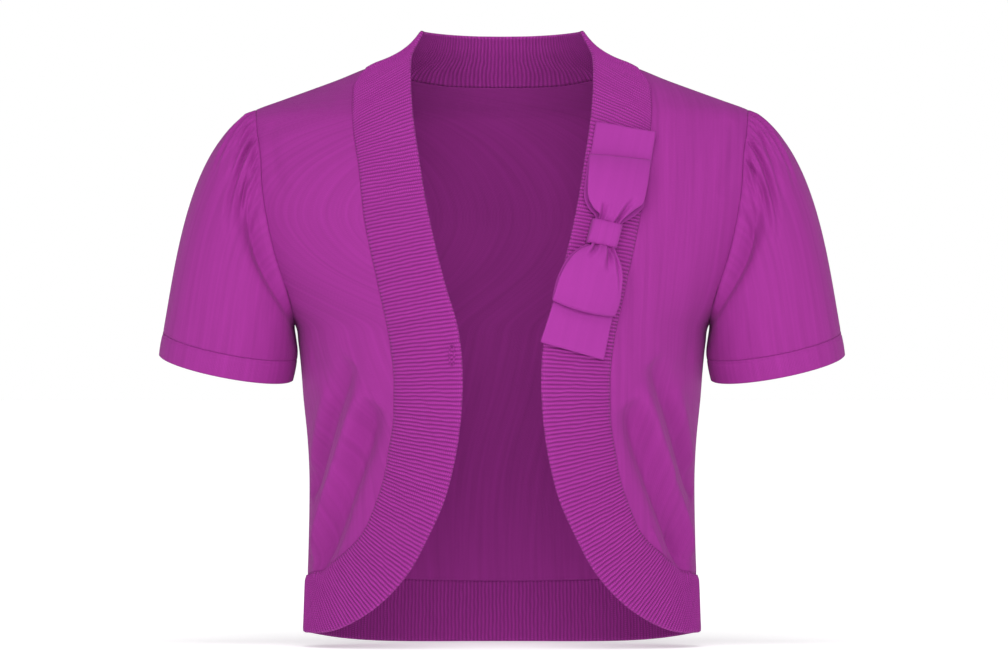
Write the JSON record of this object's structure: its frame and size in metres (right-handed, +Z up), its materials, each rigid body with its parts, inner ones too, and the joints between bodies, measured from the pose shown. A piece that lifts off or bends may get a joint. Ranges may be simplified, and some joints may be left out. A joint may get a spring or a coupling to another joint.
{
  "type": "bolero jacket",
  "caption": "Short-sleeved open-front bolero in fine knit with a wide ribbed edge, gathered sleeve heads and a flat bow on one front, held out as worn.",
  "frame": {"origin": "midway between the inner ends of the two shoulder seams, inside the neck, where the garment rests on the wearer", "axes": "+Z up, +X to the wearer's left, the open front faces -Y"},
  "size_m": [0.4936, 0.2292, 0.4413],
  "materials": {
    "jersey": "fine plain-knit jersey, soft and matt with a light sheen",
    "rib": "one-by-one knitted rib, matt, with a brighter edge loop",
    "bow": "close smooth knit strip, pressed flat"
  },
  "bodies": {
    "root": {"back": "jersey", "front_right": "jersey", "front_left": "jersey", "sleeve_right": "jersey", "sleeve_left": "jersey", "cuff_right": "jersey", "cuff_left": "jersey", "band_right": "rib", "band_left": "rib", "collar": "rib", "hem_band": "rib", "bow_tail": "bow", "bow_loop": "bow", "bow_knot": "bow"}
  },
  "joints": []
}
